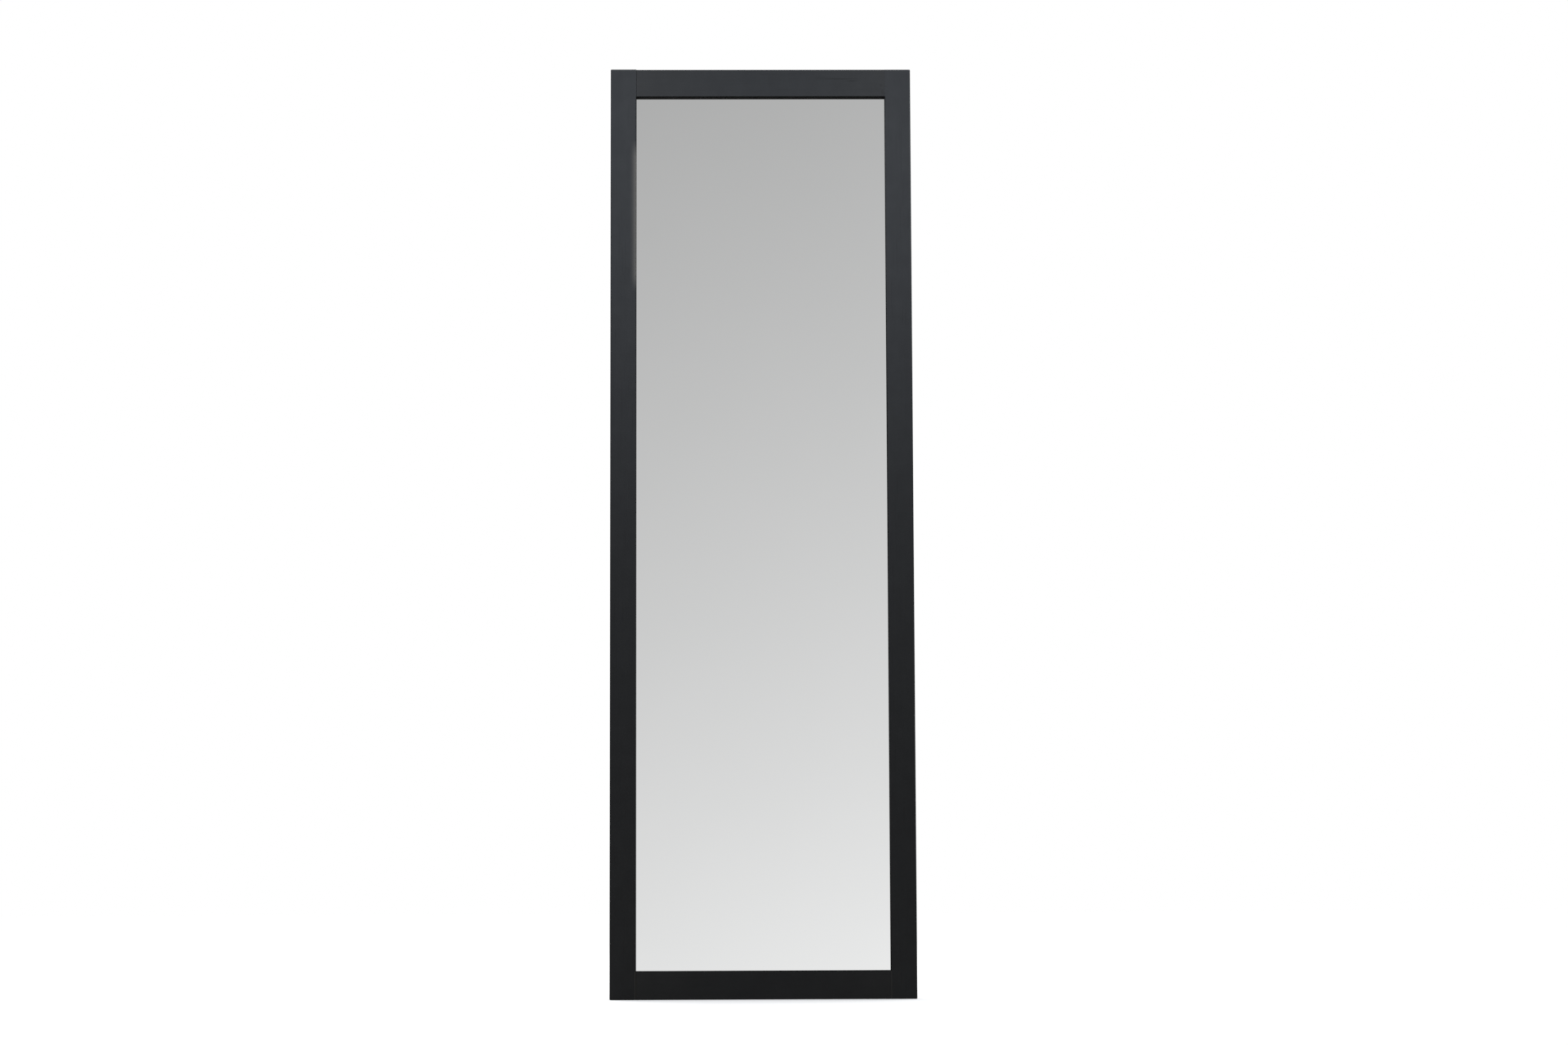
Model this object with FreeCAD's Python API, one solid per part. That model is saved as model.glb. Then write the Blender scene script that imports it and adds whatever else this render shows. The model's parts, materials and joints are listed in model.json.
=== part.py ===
import FreeCAD, Part

import math
import os

# A tall wall mirror as it comes apart on a bench: a black-painted wooden frame of two full-height
# stiles and two rails butted between them on dowels, a silvered pane in a rebate behind the front lip,
# a card liner and a hardboard back held by turn buttons, two hangers with swinging rings, and rubber
# bumpers that stand the frame off the wall.
# Millimetres. +Z is up, the mirror faces -Y and its back faces +Y.
# The origin is the centre of the frame's underside.

# Frame members
FRAME_HEIGHT = 1700.0  # length of the left stile
FRAME_WIDTH = 552.0
STILE_WIDTH = 47.0
RAIL_HEIGHT = 50.5
PROUD_LEFT = 0.7  # the left stile's top stands this far above the top rail
PROUD_RIGHT = 0.1  # and the right stile's this far
OUTER_ARRIS = 1.5  # round on the outer edges
SIGHT_ARRIS = 0.8  # small bevel on the edges next to the pane
SEAM_EASE_LEFT = 0.6  # bevel on a rail's end, which leaves an open seam on the left
SEAM_EASE_RIGHT = 0.2  # and a nearly closed one on the right

# Rebate, and what lies in it from front to back
REBATE_WIDTH = 12.0
LIP_DEPTH = 12.0
GLASS_THICKNESS = 4.0
GLASS_ARRIS = 0.5  # bevel ground on the pane's edges
LINER_THICKNESS = 2.0
PANEL_THICKNESS = 3.0
GLASS_CLEARANCE = 2.0  # between the pane's edge and the rebate, filled by the blocks and shims
PANEL_CLEARANCE = 1.0  # between the edges of liner and panel and the rebate

# Blocks and shims round the pane
BLOCK_LENGTH = 60.0
SHIM_LENGTH = 40.0
QUARTER_POINTS = (-0.25, 0.25)  # their places along each edge of the pane

# Dowels, two in each corner joint
DOWEL_DIAMETER = 8.0
DOWEL_LENGTH = 40.0
DOWEL_SPACING = 17.0
DOWEL_CHAMFER = 0.8
DOWEL_CLEARANCE = 0.05  # glue line round a dowel
DOWEL_END_GAP = 1.0  # glue room at each end of a dowel

# Pan-head wood screws, one size throughout
SCREW_DIAMETER = 3.5
SCREW_LENGTH = 16.0  # under the head
SCREW_POINT = 4.0
SCREW_HEAD_DIAMETER = 7.0
SCREW_HEAD_HEIGHT = 2.4
SCREW_HEAD_RIM = 0.9  # straight side of the head below its dome
RECESS_SPAN = 3.6  # cross recess, tip to tip
RECESS_WIDTH = 0.9
RECESS_DEPTH = 1.3
PILOT_CLEARANCE = 0.05
PLATE_HOLE_CLEARANCE = 0.25  # round a screw in a strap or a bumper

# Turn buttons
BUTTON_LENGTH = 30.0
BUTTON_WIDTH = 12.0
BUTTON_THICKNESS = 1.5
BUTTON_TAIL = 9.0  # from the pivot to the short end
BUTTON_SETBACK = 12.0  # from the pivot to the rebate's wall
BUTTON_EDGE = 0.3  # round on the button's upper edge
BUTTON_BORE_CLEARANCE = 0.1
BUTTON_UNDER_GAP = 0.2
BUTTON_HEAD_GAP = 0.1
BUTTON_KEEP_CLEAR = 60.0  # from a button's sweep to the next fitting on the stile
BUTTONS_PER_STILE = 4

# Hangers: a strap of folded sheet rolled into an eye, and a D-shaped wire ring in the eye
HANGER_DROP = 120.0  # from the stile's top to the ring's pivot
STRAP_WIDTH = 14.0
STRAP_SHEET = 1.0
STRAP_FOLD_GAP = 0.15
STRAP_CORNER = 4.0
STRAP_END = 7.0  # from the lower screw to the strap's end
STRAP_SCREW_PITCH = 16.0
STRAP_SCREW_MARGIN = 1.5  # from the hanging ring to the upper screw's head
EYE_CLEARANCE = 0.1
RING_WIRE = 3.0
RING_CORNER = 2.5  # radii and lengths of the ring are along the wire's middle
RING_SIDE = 4.0
RING_BAR_MARGIN = 1.0  # straight bar that shows on each side of the strap
RING_REST_GAP = 0.3  # between the hanging ring and the strap's edge

# Wall bumpers
BUMPER_DIAMETER = 20.0
BUMPER_TIP_DIAMETER = 17.0
BUMPER_HEIGHT = 8.0
BUMPER_SEAT = 4.0  # rubber under the screw's head
BUMPER_RIM = 0.8  # round on the bumper's tip
BUMPER_COUNTERBORE_GAP = 1.0
BUMPER_END_DISTANCE = 45.0  # from a bumper's middle to the stile's end

# Depths, with the frame's front and back the same distance from the origin
FRAME_DEPTH = LIP_DEPTH + GLASS_THICKNESS + LINER_THICKNESS + PANEL_THICKNESS
FRONT_Y = -FRAME_DEPTH / 2
BACK_Y = FRAME_DEPTH / 2
GLASS_FRONT_Y = FRONT_Y + LIP_DEPTH
GLASS_BACK_Y = GLASS_FRONT_Y + GLASS_THICKNESS
LINER_BACK_Y = GLASS_BACK_Y + LINER_THICKNESS

# Places across and up the frame
HALF_WIDTH = FRAME_WIDTH / 2
SIGHT_X = HALF_WIDTH - STILE_WIDTH
REBATE_X = SIGHT_X + REBATE_WIDTH
FITTING_X = (HALF_WIDTH + REBATE_X) / 2  # middle of the stile's full-depth part
TOP_RAIL_Z = FRAME_HEIGHT - PROUD_LEFT
STILE_TOPS = {-1: FRAME_HEIGHT, 1: TOP_RAIL_Z + PROUD_RIGHT}
SIGHT_LOW_Z = RAIL_HEIGHT
SIGHT_HIGH_Z = TOP_RAIL_Z - RAIL_HEIGHT
REBATE_LOW_Z = SIGHT_LOW_Z - REBATE_WIDTH
REBATE_HIGH_Z = SIGHT_HIGH_Z + REBATE_WIDTH
GLASS_MID_Z = (REBATE_LOW_Z + REBATE_HIGH_Z) / 2

# Hanger geometry
EYE_BORE = RING_WIRE / 2 + EYE_CLEARANCE
EYE_RADIUS = EYE_BORE + STRAP_SHEET
STRAP_STACK = 2 * STRAP_SHEET + STRAP_FOLD_GAP
PIVOT_Y = BACK_Y + EYE_RADIUS
PIVOT_Z = FRAME_HEIGHT - HANGER_DROP
RING_RADIUS = STRAP_WIDTH / 2 + RING_BAR_MARGIN + RING_CORNER
RING_DROP = RING_CORNER + RING_SIDE + RING_RADIUS
RING_EDGE_DROP = RING_CORNER + RING_SIDE + math.sqrt(RING_RADIUS**2 - (STRAP_WIDTH / 2)**2)
RING_REST_LIFT = STRAP_STACK + RING_WIRE / 2 + RING_REST_GAP - EYE_RADIUS
RING_REST_TILT = math.degrees(math.asin(RING_REST_LIFT / RING_EDGE_DROP))
UPPER_SCREW_Z = PIVOT_Z - RING_DROP - RING_WIRE / 2 - STRAP_SCREW_MARGIN - SCREW_HEAD_DIAMETER / 2
LOWER_SCREW_Z = UPPER_SCREW_Z - STRAP_SCREW_PITCH
STRAP_LOW_Z = LOWER_SCREW_Z - STRAP_END

# Turn buttons, spread evenly along each stile between the lower bumper and the hanger
BUTTON_REACH = BUTTON_LENGTH - BUTTON_TAIL
BUTTON_X = REBATE_X + BUTTON_SETBACK
BUTTON_SEAT_Y = BACK_Y + BUTTON_UNDER_GAP
BUTTON_SCREW_Y = BUTTON_SEAT_Y + BUTTON_THICKNESS + BUTTON_HEAD_GAP
BUTTON_LOW_Z = BUMPER_END_DISTANCE + BUMPER_DIAMETER / 2 + BUTTON_KEEP_CLEAR + BUTTON_REACH
BUTTON_HIGH_Z = STRAP_LOW_Z - BUTTON_KEEP_CLEAR - BUTTON_REACH
BUTTON_STEP = (BUTTON_HIGH_Z - BUTTON_LOW_Z) / (BUTTONS_PER_STILE - 1)

EDGE_TOLERANCE = 0.001  # for picking edges by their place
X_AXIS = FreeCAD.Vector(1, 0, 0)
Y_AXIS = FreeCAD.Vector(0, 1, 0)
SIDES = {"left": -1, "right": 1}
BUMPER_PLACES = [
    (side * FITTING_X, z)
    for side in SIDES.values()
    for z in (BUMPER_END_DISTANCE, FRAME_HEIGHT - BUMPER_END_DISTANCE)
]


def block(low, high):
    """A block between two opposite corners, given in any order."""
    corner = [min(a, b) for a, b in zip(low, high)]
    size = [abs(a - b) for a, b in zip(low, high)]
    return Part.makeBox(*size, FreeCAD.Vector(*corner))


def rod(radius, start, end):
    """A round rod between two points."""
    axis = FreeCAD.Vector(*end) - FreeCAD.Vector(*start)
    return Part.makeCylinder(radius, axis.Length, FreeCAD.Vector(*start), axis)


def bevel_cutter(start, end, into_a, into_b, size):
    """A square bar along an edge that bevels it when cut away. The two directions run along its faces."""
    middle = FreeCAD.Vector(*start)
    a = FreeCAD.Vector(*into_a) * size
    b = FreeCAD.Vector(*into_b) * size
    outline = Part.makePolygon([middle + a, middle + b, middle - a, middle - b, middle + a])
    return Part.Face(outline).extrude(FreeCAD.Vector(*end) - middle)


def edges_within(shape, low, high):
    """The edges of a shape that lie in the box between two corners."""
    room = FreeCAD.BoundBox(*[min(a, b) for a, b in zip(low, high)], *[max(a, b) for a, b in zip(low, high)])
    room.enlarge(EDGE_TOLERANCE)
    return [edge for edge in shape.Edges if room.isInside(edge.BoundBox)]


# Screw places: the seat under each head, as (x, y, z)

def button_places():
    """Each turn button's name, its pivot as (x, z), and the angle from +X to its long end."""
    places = {}
    for name, side in SIDES.items():
        for number in range(BUTTONS_PER_STILE):
            height = BUTTON_LOW_Z + number * BUTTON_STEP
            angle = 0 if side < 0 else 180
            places[f"turn_button_{name}_{number + 1}"] = (side * BUTTON_X, height, angle)
    places["turn_button_bottom"] = (0, REBATE_LOW_Z - BUTTON_SETBACK, 90)
    places["turn_button_top"] = (0, REBATE_HIGH_Z + BUTTON_SETBACK, 270)
    return places


def button_screw_seats():
    return [(x, BUTTON_SCREW_Y, z) for x, z, angle in button_places().values()]


def hanger_screw_seats():
    heights = (UPPER_SCREW_Z, LOWER_SCREW_Z)
    return [(side * FITTING_X, BACK_Y + STRAP_STACK, z) for side in SIDES.values() for z in heights]


def bumper_screw_seats():
    return [(x, BACK_Y + BUMPER_SEAT, z) for x, z in BUMPER_PLACES]


def pilot_holes():
    """Holes in the frame for every screw."""
    seats = button_screw_seats() + hanger_screw_seats() + bumper_screw_seats()
    radius = SCREW_DIAMETER / 2 + PILOT_CLEARANCE
    return [rod(radius, (x, y - SCREW_LENGTH - PILOT_CLEARANCE, z), (x, y, z)) for x, y, z in seats]


# Frame

def dowel_centres():
    """The middle of each dowel, on the seam between a stile and a rail."""
    solid_part = RAIL_HEIGHT - REBATE_WIDTH
    middles = (solid_part / 2, TOP_RAIL_Z - solid_part / 2)
    steps = (-DOWEL_SPACING / 2, DOWEL_SPACING / 2)
    return [(side * SIGHT_X, 0, z + step) for side in SIDES.values() for z in middles for step in steps]


def dowel_holes():
    radius = DOWEL_DIAMETER / 2 + DOWEL_CLEARANCE
    reach = DOWEL_LENGTH / 2 + DOWEL_END_GAP
    return [rod(radius, (x - reach, y, z), (x + reach, y, z)) for x, y, z in dowel_centres()]


def rebate():
    """The recess behind the lip, cut into all four members."""
    return block((-REBATE_X, GLASS_FRONT_Y, REBATE_LOW_Z), (REBATE_X, BACK_Y, REBATE_HIGH_Z))


def stile(side):
    """A full-height upright: rounded outside, bevelled next to the pane."""
    outer, inner, top = side * HALF_WIDTH, side * SIGHT_X, STILE_TOPS[side]
    body = block((outer, FRONT_Y, 0), (inner, BACK_Y, top))
    rounded = edges_within(body, (outer, FRONT_Y, 0), (outer, BACK_Y, top))
    for z in (0, top):
        for y in (FRONT_Y, BACK_Y):
            rounded += edges_within(body, (outer, y, z), (inner, y, z))
    body = body.makeFillet(OUTER_ARRIS, rounded)
    edge = [(inner, FRONT_Y, z) for z in (SIGHT_LOW_Z, SIGHT_HIGH_Z)]
    bevel = bevel_cutter(*edge, (side, 0, 0), (0, 1, 0), SIGHT_ARRIS)
    return body.cut([bevel, rebate(), *dowel_holes(), *pilot_holes()])


def rail(outer_z, inner_z):
    """A cross member between the stiles. Its ends are eased in front, more on the left than on the right."""
    up = 1 if inner_z > outer_z else -1
    body = block((-SIGHT_X, FRONT_Y, outer_z), (SIGHT_X, BACK_Y, inner_z))
    rounded = []
    for y in (FRONT_Y, BACK_Y):
        rounded += edges_within(body, (-SIGHT_X, y, outer_z), (SIGHT_X, y, outer_z))
    body = body.makeFillet(OUTER_ARRIS, rounded)
    edge = [(x, FRONT_Y, inner_z) for x in (-SIGHT_X, SIGHT_X)]
    bevels = [bevel_cutter(*edge, (0, 0, -up), (0, 1, 0), SIGHT_ARRIS)]
    for side, ease in ((-1, SEAM_EASE_LEFT), (1, SEAM_EASE_RIGHT)):
        edge = [(side * SIGHT_X, FRONT_Y, z) for z in (outer_z, inner_z)]
        bevels.append(bevel_cutter(*edge, (-side, 0, 0), (0, 1, 0), ease))
    return body.cut([*bevels, rebate(), *dowel_holes(), *pilot_holes()])


def corner_dowels():
    half, radius = DOWEL_LENGTH / 2, DOWEL_DIAMETER / 2
    dowels = []
    for x, y, z in dowel_centres():
        dowel = rod(radius, (x - half, y, z), (x + half, y, z))
        rims = [edge for edge in dowel.Edges if isinstance(edge.Curve, Part.Circle)]
        dowels.append(dowel.makeChamfer(DOWEL_CHAMFER, rims))
    return Part.makeCompound(dowels)


# Pane and back

def sheet(front_y, back_y, clearance):
    """A flat sheet that lies in the rebate with a gap all round."""
    low = (-REBATE_X + clearance, front_y, REBATE_LOW_Z + clearance)
    high = (REBATE_X - clearance, back_y, REBATE_HIGH_Z - clearance)
    return block(low, high)


def mirror_glass():
    pane = sheet(GLASS_FRONT_Y, GLASS_BACK_Y, GLASS_CLEARANCE)
    return pane.makeChamfer(GLASS_ARRIS, pane.Edges)


def upright_shims(side):
    """Shims between a stile and the pane's long edge."""
    wall = side * REBATE_X
    height = REBATE_HIGH_Z - REBATE_LOW_Z
    shims = []
    for share in QUARTER_POINTS:
        middle = GLASS_MID_Z + share * height
        low = (wall, GLASS_FRONT_Y, middle - SHIM_LENGTH / 2)
        high = (wall - side * GLASS_CLEARANCE, GLASS_BACK_Y, middle + SHIM_LENGTH / 2)
        shims.append(block(low, high))
    return shims


def level_shims(wall_z, gap_z, length):
    """Shims or blocks between a rail and the pane's short edge."""
    shims = []
    for share in QUARTER_POINTS:
        middle = share * 2 * REBATE_X
        low = (middle - length / 2, GLASS_FRONT_Y, wall_z)
        high = (middle + length / 2, GLASS_BACK_Y, wall_z + gap_z)
        shims.append(block(low, high))
    return shims


def setting_blocks():
    return Part.makeCompound(level_shims(REBATE_LOW_Z, GLASS_CLEARANCE, BLOCK_LENGTH))


def top_shims():
    return Part.makeCompound(level_shims(REBATE_HIGH_Z, -GLASS_CLEARANCE, SHIM_LENGTH))


def side_shims():
    return Part.makeCompound(upright_shims(SIDES["left"]) + upright_shims(SIDES["right"]))


# Fasteners

def screw(seat):
    """A pan-head screw with a cross recess. Its head stands towards +Y from the seat."""
    x, y, z = seat
    shank, head = SCREW_DIAMETER / 2, SCREW_HEAD_DIAMETER / 2
    dome_mid = (head * math.sqrt(0.5), SCREW_HEAD_RIM + (SCREW_HEAD_HEIGHT - SCREW_HEAD_RIM) * math.sqrt(0.5))

    def point(radius, height):
        return FreeCAD.Vector(x + radius, y + height, z)

    outline = [
        (0, -SCREW_LENGTH),
        (shank, SCREW_POINT - SCREW_LENGTH),
        (shank, 0),
        (head, 0),
        (head, SCREW_HEAD_RIM),
    ]
    edges = [Part.LineSegment(point(*a), point(*b)).toShape() for a, b in zip(outline, outline[1:])]
    top = point(0, SCREW_HEAD_HEIGHT)
    edges.append(Part.Arc(point(head, SCREW_HEAD_RIM), point(*dome_mid), top).toShape())
    edges.append(Part.LineSegment(top, point(0, -SCREW_LENGTH)).toShape())
    body = Part.Face(Part.Wire(edges)).revolve(FreeCAD.Vector(*seat), Y_AXIS, 360)
    floor, sky = y + SCREW_HEAD_HEIGHT - RECESS_DEPTH, y + SCREW_HEAD_HEIGHT + RECESS_DEPTH
    long, short = RECESS_SPAN / 2, RECESS_WIDTH / 2
    flat = block((x - long, floor, z - short), (x + long, sky, z + short))
    upright = block((x - short, floor, z - long), (x + short, sky, z + long))
    return body.cut([flat, upright])


def screws(seats):
    return Part.makeCompound([screw(seat) for seat in seats])


def turn_button(x, z, angle):
    """A flat steel tongue with round ends, on a running fit round its screw."""
    half = BUTTON_WIDTH / 2
    tail, nose = half - BUTTON_TAIL, BUTTON_REACH - half

    def point(along, across):
        return FreeCAD.Vector(x + along, BUTTON_SEAT_Y, z + across)

    edges = [
        Part.LineSegment(point(tail, -half), point(nose, -half)).toShape(),
        Part.Arc(point(nose, -half), point(BUTTON_REACH, 0), point(nose, half)).toShape(),
        Part.LineSegment(point(nose, half), point(tail, half)).toShape(),
        Part.Arc(point(tail, half), point(-BUTTON_TAIL, 0), point(tail, -half)).toShape(),
    ]
    plate = Part.Face(Part.Wire(edges)).extrude(Y_AXIS * BUTTON_THICKNESS)
    upper = BUTTON_SEAT_Y + BUTTON_THICKNESS
    rim = edges_within(plate, (x - BUTTON_TAIL, upper, z - half), (x + BUTTON_REACH, upper, z + half))
    plate = plate.makeFillet(BUTTON_EDGE, rim)
    bore = SCREW_DIAMETER / 2 + BUTTON_BORE_CLEARANCE
    plate = plate.cut(rod(bore, (x, BACK_Y, z), (x, upper + BUTTON_HEAD_GAP, z)))
    plate.rotate(FreeCAD.Vector(x, 0, z), Y_AXIS, -angle)
    return plate


# Hangers

def hanger_strap(side):
    """Sheet folded double round the ring's bar: two flat layers with a rolled eye at the top."""
    middle = side * FITTING_X
    left, right = middle - STRAP_WIDTH / 2, middle + STRAP_WIDTH / 2
    layers = []
    for lower_y in (BACK_Y, BACK_Y + STRAP_SHEET + STRAP_FOLD_GAP):
        upper_y = lower_y + STRAP_SHEET
        layer = block((left, lower_y, STRAP_LOW_Z), (right, upper_y, PIVOT_Z))
        corners = []
        for x in (left, right):
            corners += edges_within(layer, (x, lower_y, STRAP_LOW_Z), (x, upper_y, STRAP_LOW_Z))
        layers.append(layer.makeFillet(STRAP_CORNER, corners))
    eye = rod(EYE_RADIUS, (left, PIVOT_Y, PIVOT_Z), (right, PIVOT_Y, PIVOT_Z))
    body = eye.fuse(layers).removeSplitter()
    bore = rod(EYE_BORE, (left, PIVOT_Y, PIVOT_Z), (right, PIVOT_Y, PIVOT_Z))
    radius = SCREW_DIAMETER / 2 + PLATE_HOLE_CLEARANCE
    top_y = BACK_Y + STRAP_STACK
    holes = [rod(radius, (middle, BACK_Y, z), (middle, top_y, z)) for z in (UPPER_SCREW_Z, LOWER_SCREW_Z)]
    return body.cut([bore, *holes])


def hanger_ring(side):
    """A wire ring with a straight bar in the eye. It hangs from the bar and leans on the strap."""
    middle = side * FITTING_X
    bar, bend, round_end = RING_RADIUS - RING_CORNER, RING_CORNER, RING_CORNER + RING_SIDE
    turn = RING_CORNER * (1 - math.sqrt(0.5))

    def point(across, down):
        return FreeCAD.Vector(middle + across, PIVOT_Y, PIVOT_Z - down)

    def line(*ends):
        return Part.LineSegment(*[point(*end) for end in ends]).toShape()

    def arc(*stations):
        return Part.Arc(*[point(*station) for station in stations]).toShape()

    path = Part.Wire([
        line((0, 0), (bar, 0)),
        arc((bar, 0), (RING_RADIUS - turn, turn), (RING_RADIUS, bend)),
        line((RING_RADIUS, bend), (RING_RADIUS, round_end)),
        arc((RING_RADIUS, round_end), (0, RING_DROP), (-RING_RADIUS, round_end)),
        line((-RING_RADIUS, round_end), (-RING_RADIUS, bend)),
        arc((-RING_RADIUS, bend), (turn - RING_RADIUS, turn), (-bar, 0)),
        line((-bar, 0), (0, 0)),
    ])
    section = Part.Wire(Part.makeCircle(RING_WIRE / 2, point(0, 0), X_AXIS))
    ring = path.makePipeShell([section], True, False)
    ring.rotate(FreeCAD.Vector(middle, PIVOT_Y, PIVOT_Z), X_AXIS, RING_REST_TILT)
    return ring


# Wall bumpers

def wall_bumpers():
    """Tapered rubber feet, each with a counterbore for its screw's head."""
    tip_y, seat_y = BACK_Y + BUMPER_HEIGHT, BACK_Y + BUMPER_SEAT
    bore = SCREW_DIAMETER / 2 + PLATE_HOLE_CLEARANCE
    counterbore = SCREW_HEAD_DIAMETER / 2 + BUMPER_COUNTERBORE_GAP
    bumpers = []
    for x, z in BUMPER_PLACES:
        foot = FreeCAD.Vector(x, BACK_Y, z)
        body = Part.makeCone(BUMPER_DIAMETER / 2, BUMPER_TIP_DIAMETER / 2, BUMPER_HEIGHT, foot, Y_AXIS)
        reach = BUMPER_TIP_DIAMETER / 2
        rim = edges_within(body, (x - reach, tip_y, z - reach), (x + reach, tip_y, z + reach))
        body = body.makeFillet(BUMPER_RIM, rim)
        holes = [rod(bore, (x, BACK_Y, z), (x, tip_y, z)), rod(counterbore, (x, seat_y, z), (x, tip_y, z))]
        bumpers.append(body.cut(holes))
    return Part.makeCompound(bumpers)


def build():
    """Every node of the mirror, by name."""
    nodes = {
        "left_stile": stile(SIDES["left"]),
        "right_stile": stile(SIDES["right"]),
        "top_rail": rail(TOP_RAIL_Z, SIGHT_HIGH_Z),
        "bottom_rail": rail(0, SIGHT_LOW_Z),
        "corner_dowels": corner_dowels(),
        "mirror_glass": mirror_glass(),
        "setting_blocks": setting_blocks(),
        "side_shims": side_shims(),
        "top_shims": top_shims(),
        "card_liner": sheet(GLASS_BACK_Y, LINER_BACK_Y, PANEL_CLEARANCE),
        "back_panel": sheet(LINER_BACK_Y, BACK_Y, PANEL_CLEARANCE),
        "button_screws": screws(button_screw_seats()),
        "hanger_screws": screws(hanger_screw_seats()),
        "bumper_screws": screws(bumper_screw_seats()),
        "wall_bumpers": wall_bumpers(),
    }
    for name, (x, z, angle) in button_places().items():
        nodes[name] = turn_button(x, z, angle)
    for name, side in SIDES.items():
        nodes[f"{name}_hanger_strap"] = hanger_strap(side)
        nodes[f"{name}_hanger_ring"] = hanger_ring(side)
    return nodes


def main():
    os.makedirs("parts", exist_ok=True)
    for name, shape in build().items():
        shape.exportStep(os.path.join("parts", f"{name}.step"))


if __name__ == "__main__":
    main()
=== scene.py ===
import json
import math

import bmesh
import bpy
from mathutils import Matrix, Vector


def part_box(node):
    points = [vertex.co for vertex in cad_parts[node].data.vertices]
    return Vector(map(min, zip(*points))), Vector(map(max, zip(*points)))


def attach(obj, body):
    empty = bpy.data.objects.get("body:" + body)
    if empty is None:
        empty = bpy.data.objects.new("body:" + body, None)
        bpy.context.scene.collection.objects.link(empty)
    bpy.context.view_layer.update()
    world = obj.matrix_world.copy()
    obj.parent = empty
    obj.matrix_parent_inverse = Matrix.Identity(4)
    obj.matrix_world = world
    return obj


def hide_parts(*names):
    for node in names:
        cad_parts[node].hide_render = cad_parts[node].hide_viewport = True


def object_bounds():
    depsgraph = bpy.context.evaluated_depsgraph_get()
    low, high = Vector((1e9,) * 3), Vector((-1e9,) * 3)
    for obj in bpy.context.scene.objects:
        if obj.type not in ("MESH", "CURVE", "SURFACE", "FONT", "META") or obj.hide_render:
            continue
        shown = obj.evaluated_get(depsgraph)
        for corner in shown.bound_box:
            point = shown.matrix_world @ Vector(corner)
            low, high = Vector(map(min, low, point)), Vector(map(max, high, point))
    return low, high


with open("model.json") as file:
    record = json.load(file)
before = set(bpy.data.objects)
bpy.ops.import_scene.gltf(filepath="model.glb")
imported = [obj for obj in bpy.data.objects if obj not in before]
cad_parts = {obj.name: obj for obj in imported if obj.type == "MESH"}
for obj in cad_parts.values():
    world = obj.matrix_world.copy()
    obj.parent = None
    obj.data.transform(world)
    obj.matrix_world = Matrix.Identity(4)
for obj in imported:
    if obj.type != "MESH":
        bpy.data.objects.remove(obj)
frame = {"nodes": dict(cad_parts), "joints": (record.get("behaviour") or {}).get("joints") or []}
cad_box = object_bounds()

# The wall mirror's looks: painted frame, silvered pane, and the bare back with its plated fittings.
# Metres. +Z is up and the mirror faces -Y. Places come from the frame's nodes and joints.
# Where a finish varies, its two ends stand side by side.

FRAME_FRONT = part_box("left_stile")[0].y
SIGHT_HALF_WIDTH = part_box("right_stile")[0].x
SIGHT_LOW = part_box("bottom_rail")[1].z
SIGHT_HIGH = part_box("top_rail")[0].z
SIGHT_MIDDLE = (SIGHT_LOW + SIGHT_HIGH) / 2
SIGHT_HALF_HEIGHT = (SIGHT_HIGH - SIGHT_LOW) / 2
SIGHT_BEVEL = 0.0008

# Camera, fitted to the edges of the frame in the photograph
CAMERA_DISTANCE = 6.0
CAMERA_X = -0.0416
CAMERA_HEIGHT = 0.2283
CAMERA_PITCH = math.radians(6.00)
CAMERA_YAW = math.radians(-0.78)
CAMERA_ROLL = math.radians(-0.23)
CAMERA_LENS = 76.18
CAMERA_SENSOR = 36.0

# Studio, as the pane and the plated parts reflect it: light near the floor, darker overhead.
# Fall and lean are powers of e, for how far a direction points up and to the right.
STUDIO_LEVEL = 0.805
STUDIO_FALL = -2.26
STUDIO_LEAN = 1.0
STUDIO_DARKEST = 0.12
STUDIO_LIGHTEST = 0.92
FILL_LEVEL = 0.24  # even light on what doesn't reflect

# Lamps: a long one at the height of the top rail, and two large ones for the back
LAMPS = {
    "front_top": dict(place=(0, -0.9, 1.62), target=(0, 0, 1.62), size=(1.1, 0.2), power=17,
                      colour=(0.90, 0.985, 1.12), glossy=False),
    "rear_left": dict(place=(-1.6, 2.4, 2.2), target=(0, 0, 0.9), size=(1.4, 1.4), power=58,
                      colour=(1, 1, 1), glossy=False),
    "rear_right": dict(place=(2.2, 2.0, 1.4), target=(0, 0, 0.9), size=(1.6, 2.4), power=15,
                       colour=(1, 1, 1), glossy=True),
}

# Floor: what it reflects, what it adds for the camera, and how far the painted shadow at the foot reaches
FLOOR_REACH = 12.0
FLOOR_GAP = 0.0005
FLOOR_TONE = 0.6
FLOOR_GLOW = 0.86
FLOOR_PAINTED_SHADOW_REACH = 0.35
FLOOR_PAINTED_SHADOW_SAMPLES = 16

# Grain and mottle: the part of each noise or tone that a finish spreads out, and the relief of streaks
WHOLE_SPAN = (0.0, 1.0)
NOISE_SPAN = (0.3, 0.7)
TONE_SPAN = (0.2, 0.8)
PORE_SPAN = (0.60, 0.72)
SPECK_SPAN = (0.62, 0.78)
STREAK_RELIEF = 0.4
SPECK_STRENGTH = 0.4

# Paint: its black on each member, the grain under it, and the uneven film
STILE_BLACK = 0.026
# The rails' blacks are the stiles' black made darker, as painted shade that offsets the lamps on them
TOP_RAIL_SHADED_BLACK = 0.0204
BOTTOM_RAIL_SHADED_BLACK = 0.0252
UPRIGHT_GRAIN = (0.0, 0.0, 0.0)
LEVEL_GRAIN = (0.0, math.pi / 2, 0.0)
GRAIN_LENGTH = 0.09
GRAIN_WIDTH = 0.0016
GRAIN_SHARE = 0.45
FILM_SIZE = 0.03
PORE_STRENGTH = 0.28
PAINT_ROUGHNESS = (0.56, 0.46)
LIP_ROUGHER = 0.4
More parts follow.
